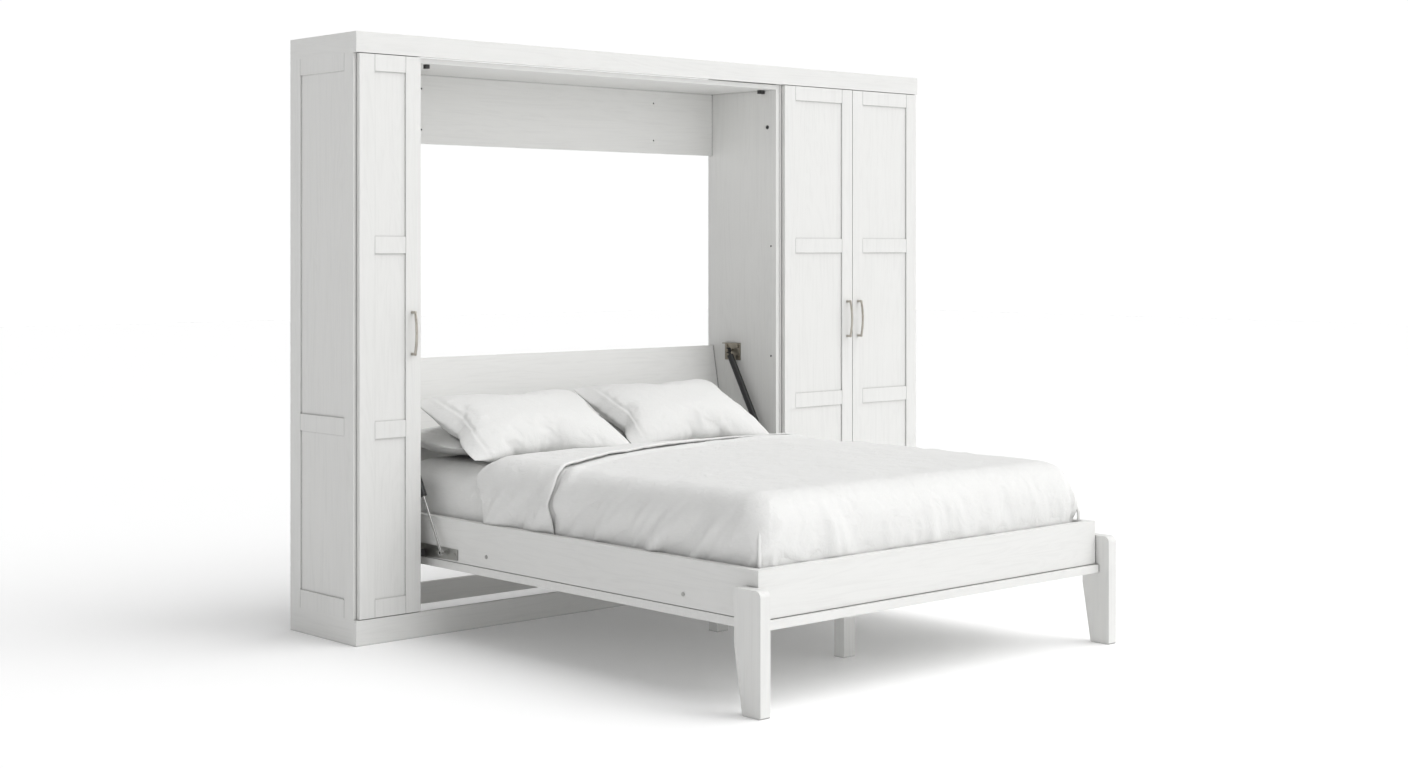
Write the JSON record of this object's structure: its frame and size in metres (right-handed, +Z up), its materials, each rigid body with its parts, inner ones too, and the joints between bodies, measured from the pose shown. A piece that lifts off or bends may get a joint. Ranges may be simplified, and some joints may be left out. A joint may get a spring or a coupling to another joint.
{
  "type": "murphy wall bed",
  "caption": "Fold-down double wall bed in an open bay between a narrow cupboard and a wide closet, with folding legs, gas struts, a tilting headboard and bedding.",
  "frame": {"origin": "middle of the floor area that the cabinet and the open bed cover, on the floor", "axes": "+X along the cabinet to the right as seen from the foot of the bed, +Y towards the wall, +Z up"},
  "size_m": [2.995, 2.23, 2.197],
  "materials": {
    "white_laminate": "matt white wood-grain laminate",
    "white_carcass": "matt white laminate",
    "zinc_steel": "zinc plated",
    "satin_nickel": "brushed nickel",
    "aged_zinc": "yellowed zinc plate",
    "chrome_rod": "polished",
    "black_metal": "satin black",
    "black_plastic": "matt black",
    "slat_wood": "plain birch",
    "mattress_ticking": "quilted ticking",
    "white_cotton": "plain woven cotton"
  },
  "bodies": {
    "cabinet": {"top_board": "white_laminate", "front_fascia": "white_laminate", "fascia_returns": "white_laminate", "plinth_front": "white_laminate", "plinth_returns": "white_laminate", "left_side_panel": "white_laminate", "right_side_panel": "white_laminate", "pier_inner_panel": "white_carcass", "bay_left_panel": "white_laminate", "bay_right_panel": "white_laminate", "closet_inner_panel": "white_carcass", "bay_ceiling": "white_laminate", "upper_back_panel": "white_laminate", "lower_back_rail": "white_carcass", "pier_back": "white_carcass", "closet_back": "white_carcass", "pier_shelves": "white_laminate", "closet_shelves": "white_laminate", "hanging_rail": "zinc_steel", "pivot_plates": "zinc_steel", "pivot_bushes": "black_plastic", "strut_brackets": "aged_zinc", "panel_bolts": "black_metal", "bed_catches": "black_plastic", "door_hinges": "zinc_steel"},
    "pier_door_leaf": {"pier_door": "white_laminate", "pier_handle": "satin_nickel"},
    "closet_left_leaf": {"closet_left_door": "white_laminate", "closet_left_handle": "satin_nickel"},
    "closet_right_leaf": {"closet_right_door": "white_laminate", "closet_right_handle": "satin_nickel"},
    "tilting_headboard": {"headboard": "white_laminate", "headboard_pins": "zinc_steel"},
    "bed": {"side_rail_left": "white_laminate", "side_rail_right": "white_laminate", "foot_board": "white_laminate", "head_rail": "white_laminate", "bottom_panel": "white_laminate", "slat_bearers": "white_laminate", "slats": "slat_wood", "rail_plates": "zinc_steel", "rail_bolts": "zinc_steel", "leg_pins": "zinc_steel", "mattress": "mattress_ticking", "fitted_sheet": "white_cotton", "top_sheet": "white_cotton", "duvet": "white_cotton", "front_pillow_left": "white_cotton", "front_pillow_right": "white_cotton", "rear_pillow_left": "white_cotton", "rear_pillow_right": "white_cotton"},
    "left_foot_leg": {"foot_leg_left": "white_laminate"},
    "right_foot_leg": {"foot_leg_right": "white_laminate"},
    "front_centre_leg": {"centre_leg_front": "white_laminate"},
    "rear_centre_leg": {"centre_leg_rear": "white_laminate"},
    "left_strut_tube": {"strut_tube_left": "black_metal"},
    "left_strut_rod": {"strut_rod_left": "chrome_rod"},
    "right_strut_tube": {"strut_tube_right": "black_metal"},
    "right_strut_rod": {"strut_rod_right": "chrome_rod"}
  },
  "joints": [
    {"name": "bed_fold", "type": "hinge", "parent": "cabinet", "child": "bed", "pos_m": [-0.328, 0.717, 0.3], "axis": [-1, 0, 0], "range_deg": [0, 90], "deforming": ["front_pillow_left", "front_pillow_right", "rear_pillow_left", "rear_pillow_right"]},
    {"name": "left_foot_leg_fold", "type": "hinge", "parent": "bed", "child": "left_foot_leg", "pos_m": [-1.1955, -1.016, 0.356], "axis": [1, 0, 0], "range_deg": [0, 90]},
    {"name": "right_foot_leg_fold", "type": "hinge", "parent": "bed", "child": "right_foot_leg", "pos_m": [0.5395, -1.016, 0.356], "axis": [1, 0, 0], "range_deg": [0, 90]},
    {"name": "front_centre_leg_fold", "type": "hinge", "parent": "bed", "child": "front_centre_leg", "pos_m": [-0.328, -0.616, 0.289], "axis": [1, 0, 0], "range_deg": [0, 90]},
    {"name": "rear_centre_leg_fold", "type": "hinge", "parent": "bed", "child": "rear_centre_leg", "pos_m": [-0.328, 0.03, 0.289], "axis": [1, 0, 0], "range_deg": [0, 90]},
    {"name": "headboard_tilt", "type": "hinge", "parent": "cabinet", "child": "tilting_headboard", "pos_m": [-0.303, 1.089, 0.98], "axis": [1, 0, 0], "range_deg": [0, 10.5]},
    {"name": "left_strut_swing", "type": "hinge", "parent": "cabinet", "child": "left_strut_tube", "pos_m": [-1.1955, 0.955, 0.977], "axis": [1, 0, 0], "range_deg": [0, 7.36]},
    {"name": "left_strut_slide", "type": "slide", "parent": "left_strut_tube", "child": "left_strut_rod", "axis": [0, 0.4984, 0.8669], "range_m": [0, 0.1832]},
    {"name": "right_strut_swing", "type": "hinge", "parent": "cabinet", "child": "right_strut_tube", "pos_m": [0.5875, 0.955, 0.977], "axis": [1, 0, 0], "range_deg": [0, 7.36]},
    {"name": "right_strut_slide", "type": "slide", "parent": "right_strut_tube", "child": "right_strut_rod", "axis": [0, 0.4984, 0.8669], "range_m": [0, 0.1832]},
    {"name": "pier_door_swing", "type": "hinge", "parent": "cabinet", "child": "pier_door_leaf", "pos_m": [-1.4835, 0.667, 1.11], "axis": [0, 0, -1], "range_deg": [0, 110]},
    {"name": "closet_left_door_swing", "type": "hinge", "parent": "cabinet", "child": "closet_left_leaf", "pos_m": [0.6495, 0.667, 1.11], "axis": [0, 0, -1], "range_deg": [0, 95]},
    {"name": "closet_right_door_swing", "type": "hinge", "parent": "cabinet", "child": "closet_right_leaf", "pos_m": [1.4875, 0.667, 1.11], "axis": [0, 0, 1], "range_deg": [0, 110]}
  ],
  "couplings": [
    {"joint": "left_foot_leg_fold", "follows": "bed_fold", "ratio": 1},
    {"joint": "right_foot_leg_fold", "follows": "bed_fold", "ratio": 1},
    {"joint": "front_centre_leg_fold", "follows": "bed_fold", "ratio": 1},
    {"joint": "rear_centre_leg_fold", "follows": "bed_fold", "ratio": 1},
    {"joint": "headboard_tilt", "follows": "bed_fold", "ratio": 0.11667},
    {"joint": "left_strut_swing", "follows": "bed_fold", "ratio": 0.081755},
    {"joint": "left_strut_slide", "follows": "bed_fold", "m_per_rad": 0.11663},
    {"joint": "right_strut_swing", "follows": "bed_fold", "ratio": 0.081755},
    {"joint": "right_strut_slide", "follows": "bed_fold", "m_per_rad": 0.11663}
  ]
}
